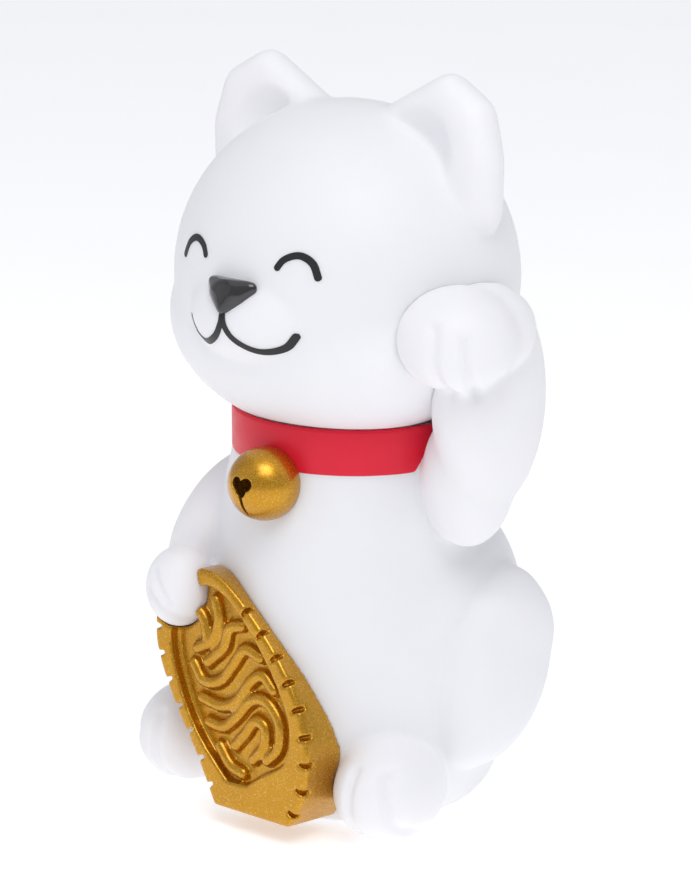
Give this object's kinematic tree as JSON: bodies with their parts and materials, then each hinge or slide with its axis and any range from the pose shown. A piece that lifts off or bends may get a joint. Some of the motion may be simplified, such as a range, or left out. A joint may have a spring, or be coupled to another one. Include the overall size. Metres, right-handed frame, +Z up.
{
  "type": "beckoning cat figurine",
  "caption": "Soft white beckoning cat night-light figurine with a red collar, gold bell and gold coin, lifting off a round battery light unit.",
  "frame": {"origin": "centre of the foot ring's flat underside, on the surface that the figurine stands on", "axes": "+Z up; the cat faces -Y; +X is the cat's left, the side of its raised arm"},
  "size_m": [0.0891, 0.0709, 0.1466],
  "materials": {
    "white_vinyl": "soft matt moulded vinyl, slightly translucent",
    "red_band": "satin red band",
    "bell_gold": "fine metallic gold, semi-gloss",
    "bell_steel": "plain steel ball",
    "nose_gloss": "glossy black",
    "black_ink": "satin printed ink",
    "coin_gold": "fine metallic gold paint, semi-gloss",
    "case_plastic": "moulded, finely textured",
    "foot_rubber": "matt rubber",
    "frosted_dome": "frosted, translucent",
    "contact_metal": "nickel plated",
    "door_plastic": "moulded, finely textured",
    "screw_steel": "zinc plated",
    "board_green": "solder mask",
    "led_resin": "warm white resin",
    "chip_black": "moulded black",
    "switch_metal": "pressed metal case",
    "knob_black": "moulded black",
    "red_lead": "insulated lead",
    "black_lead": "insulated lead",
    "cell_steel": "bright nickel-plated can"
  },
  "bodies": {
    "light_unit": {"base_plate": "case_plastic", "foot_ring": "foot_rubber", "unit_cover": "case_plastic", "diffuser_dome": "frosted_dome", "contact_spring": "contact_metal", "positive_contact": "contact_metal", "negative_contact": "contact_metal", "cover_screws": "screw_steel", "circuit_board": "board_green", "board_screws": "screw_steel", "led_lamp": "led_resin", "timer_chip": "chip_black", "chip_resistors": "chip_black", "switch_body": "switch_metal", "red_lead": "red_lead", "black_lead": "black_lead", "button_cell_1": "cell_steel", "button_cell_2": "cell_steel", "button_cell_3": "cell_steel"},
    "cat": {"body_shell": "white_vinyl", "head_shell": "white_vinyl", "collar": "red_band", "bell": "bell_gold", "bell_pea": "bell_steel", "nose": "nose_gloss", "eye_print_left": "black_ink", "eye_print_right": "black_ink", "mouth_print": "black_ink", "gold_coin": "coin_gold"},
    "door": {"battery_door": "door_plastic", "door_screw": "screw_steel"},
    "knob": {"switch_knob": "knob_black"}
  },
  "joints": [
    {"name": "cat_lift", "type": "slide", "parent": "light_unit", "child": "cat", "axis": [0, 0, 1], "range_m": [0, 0.06]},
    {"name": "door_hinge", "type": "hinge", "parent": "light_unit", "child": "door", "pos_m": [0, -0.01135, 0.0008], "axis": [-1, 0, 0], "range_deg": [0, 70]},
    {"name": "switch_slide", "type": "slide", "parent": "light_unit", "child": "knob", "axis": [1, 0, 0], "range_m": [0, 0.003]}
  ]
}
